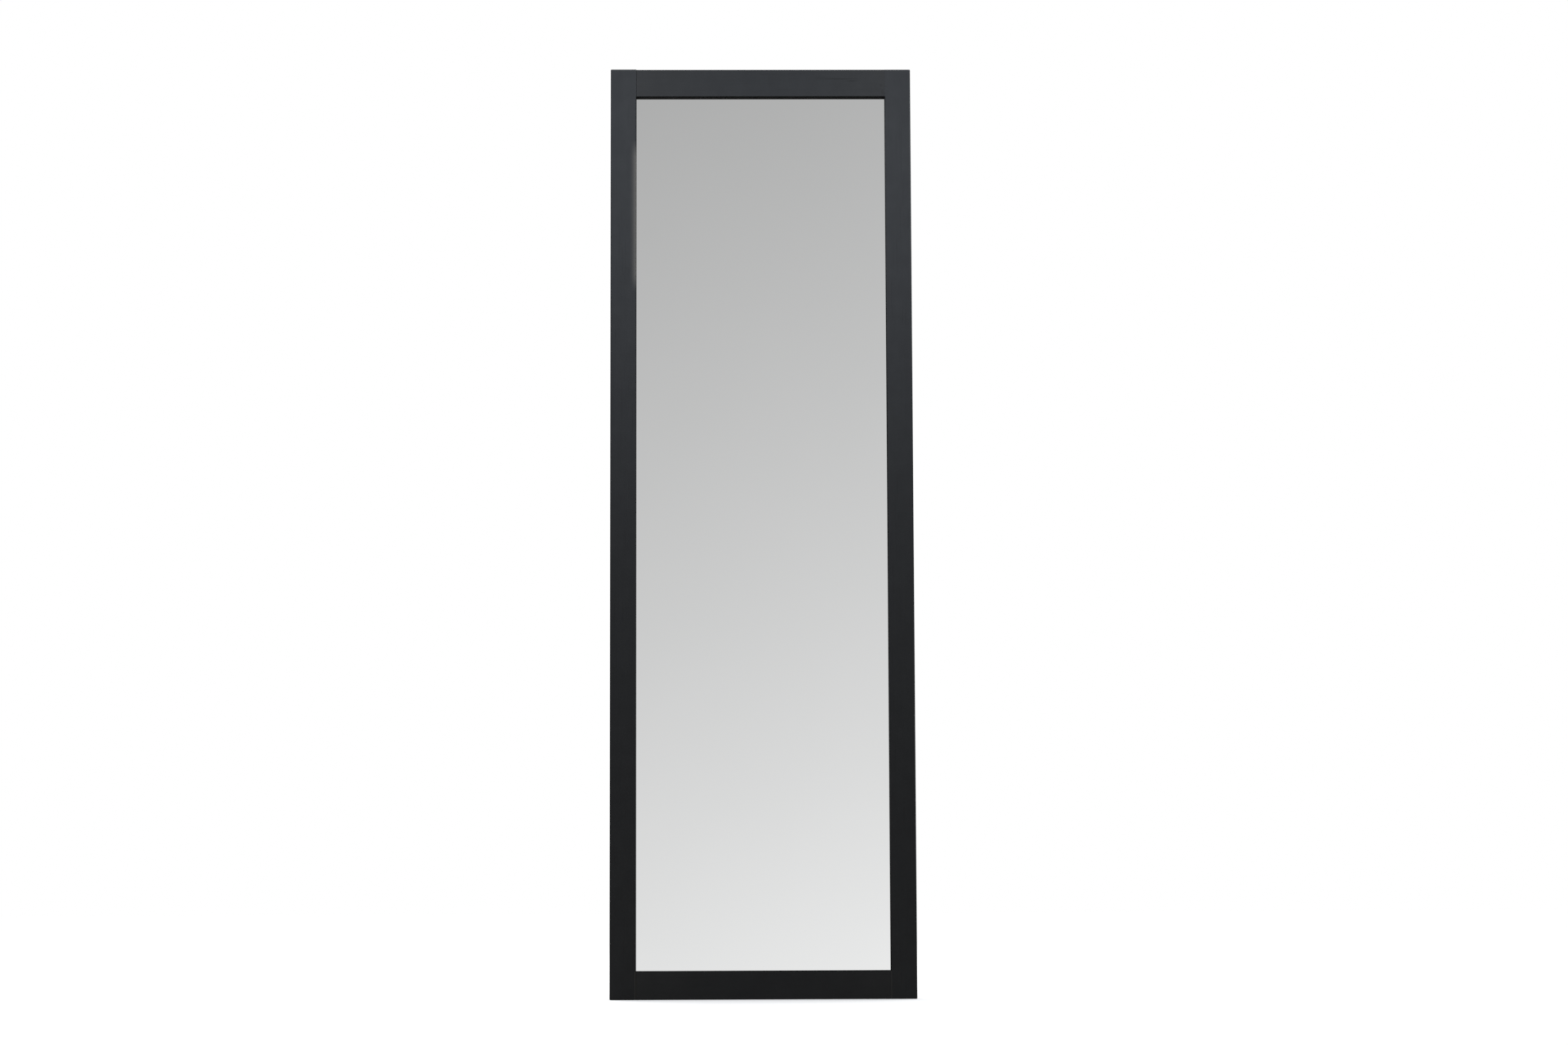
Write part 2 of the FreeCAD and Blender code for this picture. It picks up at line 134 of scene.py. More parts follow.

# Shares of a member's black: the film's range, the pores, the dark seams and marks, and the painted shade on
# the pane's lip
FILM_SHADES = (0.92, 1.08)
PORE_SHADE = 0.6
DARK_SHADE = 0.35
LIP_PAINTED_SHADE = 0.08

# Lip's painted shade, from the opening outwards: where it starts to fade, and where it ends above and below
# the opening
LIP_START = 0.0001
LIP_END = 0.0005

# Seams, from the rail's end inwards: where the dark starts and is full, and its strength on each side
SEAM_START = 0.0011
SEAM_FULL = 0.0004
SEAM_LEFT = 0.9
SEAM_RIGHT = 0.12
SIDE_BLEND = 0.1  # half the width over which values for the left turn into those for the right

# Lighter paint: a painted highlight along the stiles' edges by the lower seams, the rails' ends, and a
# paler length of the left stile's inner edge
LIGHTER_PAINT_COLOUR = (0.083, 0.0765, 0.0675, 1.0)
PAINTED_HIGHLIGHT_LEFT = 0.5
PAINTED_HIGHLIGHT_RIGHT = 0.32
PAINTED_HIGHLIGHT_WIDTH = 0.0022
RAIL_ENDS_LIGHTER = 0.07
PALE_EDGE_HEIGHT = 1.426
PALE_EDGE_HALF_LENGTH = 0.1264
PALE_EDGE_END = 0.015
PALE_EDGE_WIDTH = 0.0128
PALE_EDGE_FALL = 2.0

# Dark marks on the top rail, as (x, z, half length, half height, depth)
RAIL_MARKS = (
    (0.140, 1.6819, 0.048, 0.0014, 0.45),
    (0.168, 1.6782, 0.013, 0.0012, 0.45),
    (0.222, 1.6695, 0.004, 0.0045, 0.20),
    (0.2245, 1.6570, 0.003, 0.0060, 0.25),
)

# Pane
PANE_TINTS = ((0.895, 0.902, 0.9, 1), (0.905, 0.91, 0.909, 1))
PANE_FILM_SIZE = 0.25
PANE_ROUGHNESS = (0.0, 0.012)

# Hardboard: felted fibre in uneven patches, flecks as (size, share of places), and the print of the wire
# screen that it was pressed on. A fleck's shift is a share of its size, and its bends are counted over it.
BOARD_TINTS = ((0.128, 0.070, 0.034, 1), (0.222, 0.132, 0.068, 1))
BOARD_ROUGHNESS = (0.85, 0.7)
FELT_SCALE = 520.0
FELT_SHARE = 0.62
FELT_RELIEF = 0.6
PATCH_SIZE = 0.16
FLECKS = ((0.009, 0.4), (0.0035, 0.25))
FLECK_TINT = (0.050, 0.027, 0.014, 1)
FLECK_STRENGTH = 0.6
FLECK_SPAN = (0.06, 0.16)
FLECK_SHIFT = 0.9
FLECK_BENDS = 3.0
SCREEN_PITCH = 0.0026
SCREEN_RELIEF = 0.5

# Zinc plate
ZINC_TINTS = ((0.44, 0.455, 0.48, 1), (0.60, 0.60, 0.585, 1))
ZINC_SPECK = (0.27, 0.27, 0.265, 1)
ZINC_ROUGHNESS = (0.2, 0.42)
SCRATCH_LENGTH = 0.02
SCRATCH_WIDTH = 0.0003
CLOUD_SIZE = 0.005
CLOUD_RELIEF = 0.8

# Rubber
RUBBER_GREYS = (0.016, 0.026)
RUBBER_SPECK = 0.06
RUBBER_ROUGHNESS = (0.62, 0.8)
RUBBER_SKIN_SIZE = 0.004

# What lies inside, as two tints and the length and width of the grain
CARD = ((0.26, 0.16, 0.085, 1), (0.36, 0.24, 0.14, 1), 0.02, 0.002)
BEECH = ((0.36, 0.21, 0.11, 1), (0.52, 0.34, 0.20, 1), 0.01, 0.0006)
PACKER = ((0.10, 0.10, 0.10, 1), (0.14, 0.14, 0.14, 1), 0.004, 0.001)
INNER_ROUGHNESS = (0.6, 0.85)

# Screws
SCREW_LENGTH = 0.016
SCREW_HEAD_RADIUS = 0.0035
SCREW_SHANK_RADIUS = 0.00175
SCREW_HEAD_HEIGHT = 0.0024
SCREW_HEAD_RIM = 0.0009
SCREW_POINT = 0.004
SCREW_SEGMENTS = 40
DOME_ANGLES = (15, 35, 55, 72, 84)  # degrees up the head's dome, closer together near its top
SHARP_EDGE = math.radians(40)
RECESS_SPAN = 0.0038
RECESS_WIDTH = 0.0010
RECESS_DEPTH = 0.0014
RECESS_TAPER = 0.55
RECESS_TOP = SCREW_HEAD_HEIGHT * 1.2  # where the cutter ends, clear of the head

# Hanger rings
RING_WIRE = 0.003
RING_CORNER = 0.0025
RING_SEGMENTS = 20
RING_END_SHARE = 0.999  # the round end's radius by the half width, so that its two bends don't meet

# Points closer than this are one
MERGE_DISTANCE = 0.000002


# Node helpers

def feed(tree, socket, value):
    """Sets a socket to a value, or links it from another socket."""
    if isinstance(value, bpy.types.NodeSocket):
        tree.links.new(value, socket)
    else:
        socket.default_value = value


def node(tree, kind, inputs=None, **settings):
    """A node with its settings, and its inputs set to values or linked from sockets."""
    made = tree.nodes.new(kind)
    for name, value in settings.items():
        setattr(made, name, value)
    for key, value in (inputs or {}).items():
        feed(tree, made.inputs[key], value)
    return made


def in_use(sockets, name):
    """The socket of a name that a node uses, where others have the same name."""
    return next(socket for socket in sockets if socket.name == name and socket.enabled)


def math_node(tree, operation, *values):
    return node(tree, "ShaderNodeMath", dict(enumerate(values)), operation=operation).outputs[0]


def times(tree, value, *others):
    """The product of two or more values."""
    for other in others:
        value = math_node(tree, "MULTIPLY", value, other)
    return value


def mixed(tree, first, second, share):
    """Two tones added, with this share of the first."""
    return math_node(tree, "ADD", times(tree, first, share), times(tree, second, 1 - share))


def vector_math(tree, operation, *values):
    return node(tree, "ShaderNodeVectorMath", dict(enumerate(values)), operation=operation).outputs[0]


def scaled(tree, vector, scale):
    return node(tree, "ShaderNodeVectorMath", {0: vector, "Scale": scale}, operation="SCALE").outputs[0]


def coordinates(tree, place):
    """A place's X, Y and Z."""
    return node(tree, "ShaderNodeSeparateXYZ", {"Vector": place}).outputs[:]


def noise(tree, vector, scale, detail=2.0, roughness=0.5, distortion=0.0):
    made = node(tree, "ShaderNodeTexNoise", {
        "Vector": vector, "Scale": scale, "Detail": detail, "Roughness": roughness, "Distortion": distortion})
    return made.outputs["Fac"]


def remap(tree, value, low, high, to_low=0.0, to_high=1.0):
    """A value range mapped to another, held at its ends."""
    made = node(tree, "ShaderNodeMapRange", {
        "Value": value, "From Min": low, "From Max": high, "To Min": to_low, "To Max": to_high})
    return made.outputs["Result"]


def fade(tree, value, start, end):
    """Full up to the start, and nothing from the end on."""
    return remap(tree, value, start, end, 1.0, 0.0)


def grey(level):
    return (level, level, level, 1.0)


def blend_colour(tree, share, first, second):
    """The colour that lies a share of the way from the first to the second."""
    made = node(tree, "ShaderNodeMix", data_type="RGBA")
    for name, value in (("Factor", share), ("A", first), ("B", second)):
        feed(tree, in_use(made.inputs, name), value)
    return in_use(made.outputs, "Result")


def bump(tree, height, strength, distance):
    made = node(tree, "ShaderNodeBump", {"Height": height, "Strength": strength, "Distance": distance})
    return made.outputs["Normal"]


def object_place(tree):
    return node(tree, "ShaderNodeTexCoord").outputs["Object"]


def shader_group(name, inputs, outputs):
    """An empty shader group: its tree, its input node and its output node."""
    tree = bpy.data.node_groups.new(name, "ShaderNodeTree")
    for direction, sockets in (("INPUT", inputs), ("OUTPUT", outputs)):
        for title, kind in sockets.items():
            tree.interface.new_socket(name=title, in_out=direction, socket_type=f"NodeSocket{kind}")
    return tree, tree.nodes.new("NodeGroupInput"), tree.nodes.new("NodeGroupOutput")


def group_node(tree, group, **inputs):
    """A group placed in a material with its own values."""
    return node(tree, "ShaderNodeGroup", inputs, node_tree=group)


def put_out(tree, result, **values):
    """Links a group's results to its output node."""
    for title, value in values.items():
        tree.links.new(value, result.inputs[title])


def material(name):
    """A new material with a Principled shader: the material, its tree and the shader."""
    made = bpy.data.materials.new(name)
    made.use_nodes = True
    tree = made.node_tree
    tree.nodes.clear()
    shader = tree.nodes.new("ShaderNodeBsdfPrincipled")
    output = tree.nodes.new("ShaderNodeOutputMaterial")
    tree.links.new(shader.outputs["BSDF"], output.inputs["Surface"])
    return made, tree, shader


def set_shader(tree, shader, **inputs):
    """Sets or links a shader's inputs, which are named with underscores for spaces."""
    for title, value in inputs.items():
        feed(tree, shader.inputs[title.replace("_", " ")], value)


# Shared effects

def make_long_grain():
    """Grain along Z: broad streaks, short dark pores, and their height."""
    tree, given, result = shader_group(
        "long_grain",
        {"Vector": "Vector", "Length": "Float", "Width": "Float"},
        {"Streak": "Float", "Pore": "Float", "Height": "Float"})
    across = math_node(tree, "DIVIDE", 1.0, given.outputs["Width"])
    along = math_node(tree, "DIVIDE", 1.0, given.outputs["Length"])
    stretch = node(tree, "ShaderNodeCombineXYZ", {"X": across, "Y": across, "Z": along}).outputs[0]
    place = vector_math(tree, "MULTIPLY", given.outputs["Vector"], stretch)
    streak = noise(tree, place, scale=0.25, detail=4.0, roughness=0.6)
    pore = remap(tree, noise(tree, place, scale=1.0), *PORE_SPAN)
    height = math_node(tree, "SUBTRACT", times(tree, streak, STREAK_RELIEF), pore)
    put_out(tree, result, Streak=streak, Pore=pore, Height=height)
    return tree


def make_soft_mottle():
    """Slow, uneven tone, as in a film of paint, a rolled board or moulded rubber, and small specks."""
    tree, given, result = shader_group(
        "soft_mottle", {"Vector": "Vector", "Size": "Float"}, {"Tone": "Float", "Speck": "Float"})
    place = scaled(tree, given.outputs["Vector"], math_node(tree, "DIVIDE", 1.0, given.outputs["Size"]))
    tone = remap(tree, noise(tree, place, scale=1.0, detail=3.0, roughness=0.55), *NOISE_SPAN)
    speck = remap(tree, noise(tree, place, scale=19.0, roughness=0.6), *SPECK_SPAN)
    put_out(tree, result, Tone=tone, Speck=speck)
    return tree


long_grain = make_long_grain()
soft_mottle = make_soft_mottle()


# Paint

def beyond(tree, value, middle, half):
    """How far a coordinate lies outside a span, negative inside it."""
    away = math_node(tree, "ABSOLUTE", math_node(tree, "SUBTRACT", value, middle))
    return math_node(tree, "SUBTRACT", away, half)


def beyond_sight(tree, x, z):
    """How far a place lies outside the frame's opening, across and up."""
    return beyond(tree, x, 0.0, SIGHT_HALF_WIDTH), beyond(tree, z, SIGHT_MIDDLE, SIGHT_HALF_HEIGHT)


def by_side(tree, x, left, right):
    """One value on the frame's left and another on its right."""
    return remap(tree, x, -SIDE_BLEND, SIDE_BLEND, left, right)


def grain_marks(tree, x, z):
    """The few dark marks of raised grain that show on the top rail."""
    marks = 0.0
    for mark_x, mark_z, half_length, half_height, depth in RAIL_MARKS:
        across = math_node(tree, "DIVIDE", math_node(tree, "SUBTRACT", x, mark_x), half_length)
        up = math_node(tree, "DIVIDE", math_node(tree, "SUBTRACT", z, mark_z), half_height)
        reach = math_node(tree, "MULTIPLY_ADD", across, across, times(tree, up, up))
        mark = times(tree, math_node(tree, "SUBTRACT", 1.0, reach), depth)
        marks = math_node(tree, "MAXIMUM", marks, mark)
    return marks


def pale_edge_length(tree, x, y, z, outside_x):
    """The length of the left stile's inner edge where the paint is paler, strongest at the edge."""
    across = math_node(tree, "POWER", fade(tree, outside_x, 0.0, PALE_EDGE_WIDTH), PALE_EDGE_FALL)
    along = fade(tree, beyond(tree, z, PALE_EDGE_HEIGHT, PALE_EDGE_HALF_LENGTH), -PALE_EDGE_END, PALE_EDGE_END)
    bevel_back = FRAME_FRONT + SIGHT_BEVEL
    in_front = fade(tree, y, bevel_back, bevel_back + SIGHT_BEVEL)
    on_left = math_node(tree, "LESS_THAN", x, 0.0)
    return times(tree, across, along, in_front, on_left)


def stile_masks(tree, place):
    """Where a stile's paint is lighter, with a painted highlight by the lower seams, and its dull lip beside
    the pane, darkened by painted shade.
    """
    x, y, z = coordinates(tree, place)
    outside_x, outside_z = beyond_sight(tree, x, z)
    pale_edge_band = pale_edge_length(tree, x, y, z, outside_x)
    # A painted highlight along the stiles' eased edges by the lower seams
    seam_painted_highlight = times(tree, fade(tree, outside_x, PAINTED_HIGHLIGHT_WIDTH / 2, PAINTED_HIGHLIGHT_WIDTH),
                    by_side(tree, x, PAINTED_HIGHLIGHT_LEFT, PAINTED_HIGHLIGHT_RIGHT), math_node(tree, "LESS_THAN", z, SIGHT_LOW))
    # Painted shade: the lip beside the pane is darkened, except along the paler length
    lip = times(tree, fade(tree, outside_x, LIP_START, SIGHT_BEVEL), fade(tree, outside_z, 0.0, LIP_END),
                math_node(tree, "SUBTRACT", 1.0, pale_edge_band))
    return {"lighter_paint": math_node(tree, "MAXIMUM", seam_painted_highlight, pale_edge_band), "lip": lip}


def rail_masks(tree, place):
    """A rail's dark seams and marks, its ends that are lighter, and its dull lip beside the pane, darkened by
    painted shade.
    """
    x, _, z = coordinates(tree, place)
    outside_x, outside_z = beyond_sight(tree, x, z)
    seams = times(tree, remap(tree, outside_x, -SEAM_START, -SEAM_FULL),
                  by_side(tree, x, SEAM_LEFT, SEAM_RIGHT))
    out = math_node(tree, "DIVIDE", x, SIGHT_HALF_WIDTH)
    return {
        "dark": math_node(tree, "MAXIMUM", seams, grain_marks(tree, x, z)),
        "lighter_paint": times(tree, out, out, RAIL_ENDS_LIGHTER),
        # painted shade on the lip beside the pane
        "lip": fade(tree, outside_z, LIP_START, SIGHT_BEVEL),
    }


def painted_wood(name, grain_turn, black, member_masks):
    """Deep satin black paint with the wood's grain showing faintly through it."""
    made, tree, shader = material(name)
    place = object_place(tree)
    turned = node(tree, "ShaderNodeMapping", {"Vector": place, "Rotation": grain_turn}).outputs[0]
    grain = group_node(tree, long_grain, Vector=turned, Length=GRAIN_LENGTH, Width=GRAIN_WIDTH)
    film = group_node(tree, soft_mottle, Vector=place, Size=FILM_SIZE)
    tone = mixed(tree, grain.outputs["Streak"], film.outputs["Tone"], GRAIN_SHARE)
    colour = blend_colour(tree, tone, *[grey(black * shade) for shade in FILM_SHADES])
    pores = times(tree, grain.outputs["Pore"], PORE_STRENGTH)
    colour = blend_colour(tree, pores, colour, grey(black * PORE_SHADE))
    # Painted shade darkens the lip beside the pane, and on the stiles a painted highlight lightens the edges
    # by the lower seams
    colours = {"dark": grey(black * DARK_SHADE), "lighter_paint": LIGHTER_PAINT_COLOUR, "lip": grey(black * LIP_PAINTED_SHADE)}
    masks = member_masks(tree, place)
    for title, mask in masks.items():
        colour = blend_colour(tree, mask, colour, colours[title])
    satin = remap(tree, tone, *TONE_SPAN, *PAINT_ROUGHNESS)
    roughness = math_node(tree, "MULTIPLY_ADD", masks["lip"], LIP_ROUGHER, satin)
    set_shader(tree, shader, Base_Color=colour, Roughness=roughness, Specular_IOR_Level=0.08,
               Normal=bump(tree, grain.outputs["Height"], strength=0.14, distance=0.0002))
    return made


# Other finishes

def silvered_glass():
    """A clean silvered pane."""
    made, tree, shader = material("silvered_glass")
    film = group_node(tree, soft_mottle, Vector=object_place(tree), Size=PANE_FILM_SIZE)
    colour = blend_colour(tree, film.outputs["Tone"], *PANE_TINTS)
    roughness = remap(tree, film.outputs["Tone"], *WHOLE_SPAN, *PANE_ROUGHNESS)
    set_shader(tree, shader, Base_Color=colour, Roughness=roughness, Metallic=1.0)
    return made


def fibre_flecks(tree, place, size, share):
    """Small dark flecks of bark and coarse fibre, in a share of the cells of a loose grid."""
    bend = noise(tree, place, scale=FLECK_BENDS / size)
    moved = vector_math(tree, "ADD", place, scaled(tree, [FLECK_SHIFT * size] * 3, bend))
    cells = node(tree, "ShaderNodeTexVoronoi", {"Vector": moved, "Scale": 1.0 / size})
    spot = fade(tree, cells.outputs["Distance"], *FLECK_SPAN)
    pick = node(tree, "ShaderNodeSeparateColor", {"Color": cells.outputs["Color"]}).outputs["Red"]
    return times(tree, spot, math_node(tree, "LESS_THAN", pick, share))


def screen_print(tree, place):
    """Crossed waves, as a wire screen leaves on the board's back."""
    x, _, z = coordinates(tree, place)
    turns = 2 * math.pi / SCREEN_PITCH
    return times(tree, *[math_node(tree, "SINE", times(tree, value, turns)) for value in (x, z)])


def hardboard():
    """Brown pressed fibre with the print of a wire screen."""
    made, tree, shader = material("hardboard")
    place = object_place(tree)
    felt = noise(tree, place, scale=FELT_SCALE, detail=4.0, roughness=0.65, distortion=1.6)
    patch = group_node(tree, soft_mottle, Vector=place, Size=PATCH_SIZE)
    tone = mixed(tree, remap(tree, felt, *NOISE_SPAN), patch.outputs["Tone"], FELT_SHARE)
    colour = blend_colour(tree, tone, *BOARD_TINTS)
    flecks = math_node(tree, "MAXIMUM", *[fibre_flecks(tree, place, *fleck) for fleck in FLECKS])
    colour = blend_colour(tree, times(tree, flecks, FLECK_STRENGTH), colour, FLECK_TINT)
    height = math_node(tree, "MULTIPLY_ADD", screen_print(tree, place), SCREEN_RELIEF,
                       times(tree, felt, FELT_RELIEF))
    set_shader(tree, shader, Base_Color=colour, Roughness=remap(tree, tone, *TONE_SPAN, *BOARD_ROUGHNESS),
               Specular_IOR_Level=0.25, Normal=bump(tree, height, strength=0.9, distance=0.0005))
    return made


def plated_steel():
    """Bright zinc plate, finely scratched and a little clouded."""
    made, tree, shader = material("plated_steel")
    place = object_place(tree)
    scratch = group_node(tree, long_grain, Vector=place, Length=SCRATCH_LENGTH, Width=SCRATCH_WIDTH)
    cloud = group_node(tree, soft_mottle, Vector=place, Size=CLOUD_SIZE)
    colour = blend_colour(tree, cloud.outputs["Tone"], *ZINC_TINTS)
    colour = blend_colour(tree, times(tree, cloud.outputs["Speck"], SPECK_STRENGTH), colour, ZINC_SPECK)
    roughness = remap(tree, scratch.outputs["Streak"], *NOISE_SPAN, *ZINC_ROUGHNESS)
    height = math_node(tree, "MULTIPLY_ADD", cloud.outputs["Tone"], CLOUD_RELIEF, scratch.outputs["Height"])
    set_shader(tree, shader, Base_Color=colour, Roughness=roughness, Metallic=1.0,
               Normal=bump(tree, height, strength=0.12, distance=0.0001))
    return made


def moulded_rubber():
    """Dull black rubber with a slightly uneven, specked skin."""
    made, tree, shader = material("moulded_rubber")
    skin = group_node(tree, soft_mottle, Vector=object_place(tree), Size=RUBBER_SKIN_SIZE)
    colour = blend_colour(tree, skin.outputs["Tone"], *[grey(level) for level in RUBBER_GREYS])
    specks = times(tree, skin.outputs["Speck"], SPECK_STRENGTH)
    colour = blend_colour(tree, specks, colour, grey(RUBBER_SPECK))
    roughness = remap(tree, skin.outputs["Tone"], *WHOLE_SPAN, *RUBBER_ROUGHNESS)
    set_shader(tree, shader, Base_Color=colour, Roughness=roughness, Specular_IOR_Level=0.35,
               Normal=bump(tree, skin.outputs["Tone"], strength=0.12, distance=0.0001))
    return made


def plain_fibre(name, dark, light, length, width):
    """Bare card, beech or plastic, for what lies inside."""
    made, tree, shader = material(name)
    grain = group_node(tree, long_grain, Vector=object_place(tree), Length=length, Width=width)
    colour = blend_colour(tree, grain.outputs["Streak"], dark, light)
    roughness = remap(tree, grain.outputs["Streak"], *WHOLE_SPAN, *INNER_ROUGHNESS)
    set_shader(tree, shader, Base_Color=colour, Roughness=roughness,
               Normal=bump(tree, grain.outputs["Height"], strength=0.15, distance=0.0001))
    return made


stile_paint = painted_wood("stile_paint", UPRIGHT_GRAIN, STILE_BLACK, stile_masks)
zinc = plated_steel()
packer = plain_fibre("grey_packer", *PACKER)

finishes = {
    "left_stile": stile_paint,
    "right_stile": stile_paint,
    # The rails' paint is a copy of the stiles' with painted shade
    "top_rail": painted_wood("top_rail_shaded_paint", LEVEL_GRAIN, TOP_RAIL_SHADED_BLACK, rail_masks),
    "bottom_rail": painted_wood("bottom_rail_shaded_paint", LEVEL_GRAIN, BOTTOM_RAIL_SHADED_BLACK, rail_masks),
    "mirror_glass": silvered_glass(),
    "back_panel": hardboard(),
    "wall_bumpers": moulded_rubber(),
    "left_hanger_strap": zinc,
    "right_hanger_strap": zinc,
    "card_liner": plain_fibre("kraft_card", *CARD),
    "corner_dowels": plain_fibre("bare_beech", *BEECH),
    "setting_blocks": packer,
    "side_shims": packer,
    "top_shims": packer,
}
finishes.update({name: zinc for name in frame["nodes"] if name.startswith("turn_button")})
for name, finish in finishes.items():
    slots = frame["nodes"][name].data.materials
    slots.clear()
    slots.append(finish)


# Meshes

def link(data, name):
    """A new object at the origin that holds a mesh, a lamp or a camera."""
    made = bpy.data.objects.new(name, data)
    bpy.context.scene.collection.objects.link(made)
    return made


def settled_mesh(holder):
    """The mesh that an object's modifiers make, with the object removed."""
    bpy.context.view_layer.update()
    evaluated = holder.evaluated_get(bpy.context.evaluated_depsgraph_get())
    mesh = bpy.data.meshes.new_from_object(evaluated)
    bpy.data.objects.remove(holder)
    return mesh


def outward_mesh(made, name):
    """A mesh of what was built, with its faces turned outwards."""
    bmesh.ops.recalc_face_normals(made, faces=made.faces)
    mesh = bpy.data.meshes.new(name)
    made.to_mesh(mesh)
    made.free()
    return mesh


def clean(mesh):
    """Merges doubled points, drops faces without area and turns the rest outwards."""
    made = bmesh.new()
    made.from_mesh(mesh)
    bmesh.ops.remove_doubles(made, verts=made.verts, dist=MERGE_DISTANCE)
    bmesh.ops.dissolve_degenerate(made, edges=made.edges, dist=MERGE_DISTANCE)
    bmesh.ops.recalc_face_normals(made, faces=made.faces)
    made.to_mesh(mesh)
    made.free()


def revolved(profile, segments):
    """A closed mesh turned about Y from points of (radius, height), the first and last on the axis."""
    made = bmesh.new()
    turns = [2 * math.pi * k / segments for k in range(segments)]
    rings = []
    for radius, height in profile[1:-1]:
        rings.append([made.verts.new((radius * math.cos(t), height, radius * math.sin(t))) for t in turns])
    poles = [made.verts.new((0, height, 0)) for height in (profile[0][1], profile[-1][1])]
    for k in range(segments):
        n = (k + 1) % segments
        made.faces.new((poles[0], rings[0][k], rings[0][n]))
        made.faces.new((poles[1], rings[-1][n], rings[-1][k]))
        for low, high in zip(rings, rings[1:]):
            made.faces.new((low[k], high[k], high[n], low[n]))
    return outward_mesh(made, "turned")


def geometry_tree(name, inputs):
    """An empty Geometry Nodes tree with named inputs, and its input and output nodes."""
    tree = bpy.data.node_groups.new(name, "GeometryNodeTree")
    tree.interface.new_socket(name="Geometry", in_out="INPUT", socket_type="NodeSocketGeometry")
    for title, kind in inputs.items():
        tree.interface.new_socket(name=title, in_out="INPUT", socket_type=f"NodeSocket{kind}")
    tree.interface.new_socket(name="Geometry", in_out="OUTPUT", socket_type="NodeSocketGeometry")
    return tree, tree.nodes.new("NodeGroupInput"), tree.nodes.new("NodeGroupOutput")


def end_tree(tree, geometry, finish, result):
    """Ends a Geometry Nodes tree with plain geometry in its finish."""
    real = node(tree, "GeometryNodeRealizeInstances", {"Geometry": geometry})
    finished = node(tree, "GeometryNodeSetMaterial", {
        "Geometry": real.outputs["Geometry"], "Material": finish})
    put_out(tree, result, Geometry=finished.outputs["Geometry"])


def grown(tree, seeds, name, values):
    """The piece that a Geometry Nodes tree makes of a seed mesh, as a plain mesh."""
    holder = link(seeds, f"{name}_seed")
    grow = holder.modifiers.new("grow", "NODES")
    grow.node_group = tree
    for item in tree.interface.items_tree:
        if item.in_out == "INPUT" and item.name in values:
            grow[item.identifier] = values[item.name]
    return link(settled_mesh(holder), name)


# Screws

def recess_cutter():
    """A tapered cross that cuts a screw's recess."""
    far, near = RECESS_SPAN / 2, RECESS_WIDTH / 2
    outline = []
    for quarter in range(4):
        turn = Matrix.Rotation(quarter * math.pi / 2, 2)
        outline += [turn @ Vector(corner) for corner in ((far, -near), (far, near), (near, near))]
    levels = ((SCREW_HEAD_HEIGHT - RECESS_DEPTH, RECESS_TAPER), (RECESS_TOP, 1.0))
    made = bmesh.new()
    low, high = [[made.verts.new((point.x * share, height, point.y * share)) for point in outline]
                 for height, share in levels]
    made.faces.new(low)
    made.faces.new(high)
    for k, corner in enumerate(low):
        made.faces.new((low[k - 1], corner, high[k], high[k - 1]))
    return link(outward_mesh(made, "recess"), "recess_cutter")


def screw_pattern():
    """One pan-head screw, seated at the origin with its head towards +Y."""
    dome = SCREW_HEAD_HEIGHT - SCREW_HEAD_RIM
    arc = [math.radians(angle) for angle in DOME_ANGLES]
    profile = [(0, -SCREW_LENGTH), (SCREW_SHANK_RADIUS, SCREW_POINT - SCREW_LENGTH), (SCREW_SHANK_RADIUS, 0),
               (SCREW_HEAD_RADIUS, 0), (SCREW_HEAD_RADIUS, SCREW_HEAD_RIM)]
    profile += [(SCREW_HEAD_RADIUS * math.cos(a), SCREW_HEAD_RIM + dome * math.sin(a)) for a in arc]
    profile.append((0, SCREW_HEAD_HEIGHT))
    holder = link(revolved(profile, SCREW_SEGMENTS), "screw_blank")
    cutter = recess_cutter()
    cut = holder.modifiers.new("recess", "BOOLEAN")
    cut.operation = "DIFFERENCE"
    cut.solver = "EXACT"
    cut.object = cutter
    mesh = settled_mesh(holder)
    bpy.data.objects.remove(cutter)
    clean(mesh)
    for face in mesh.polygons:
        face.use_smooth = True
    mesh.set_sharp_from_angle(angle=SHARP_EDGE)
    return mesh


def screw_tree():
    """A screw on each seed point, each turned by its own angle."""
    tree, given, result = geometry_tree("screws_on_seats", {
        "Screw": "Object", "Turn": "Float", "Seed": "Int", "Finish": "Material"})
    screw = node(tree, "GeometryNodeObjectInfo", {"Object": given.outputs["Screw"], "As Instance": True})
    turn = node(tree, "FunctionNodeRandomValue", data_type="FLOAT")
    feed(tree, in_use(turn.inputs, "Max"), given.outputs["Turn"])
    feed(tree, in_use(turn.inputs, "Seed"), given.outputs["Seed"])
    spin = node(tree, "ShaderNodeCombineXYZ", {"Y": in_use(turn.outputs, "Value")}).outputs[0]
    placed = node(tree, "GeometryNodeInstanceOnPoints", {
        "Points": given.outputs["Geometry"], "Instance": screw.outputs["Geometry"], "Rotation": spin})
    end_tree(tree, placed.outputs["Instances"], given.outputs["Finish"], result)
    return tree


def corner_seats(group):
    """The seats of four screws, which stand at the corners of their group's box."""
    low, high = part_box(group)
    inset = SCREW_HEAD_RADIUS
    return [(x, low.y + SCREW_LENGTH, z) for x in (low.x + inset, high.x - inset)
            for z in (low.z + inset, high.z - inset)]


def button_seats():
    """The seat of each turn button's screw, on the button's pivot."""
    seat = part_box("button_screws")[0].y + SCREW_LENGTH
    places = [joint["pos_m"] for joint in frame["joints"] if joint["name"].startswith("turn_button")]
    return [(x, seat, z) for x, _, z in places]


def point_mesh(places):
    mesh = bpy.data.meshes.new("seats")
    mesh.from_pydata(places, [], [])
    return mesh


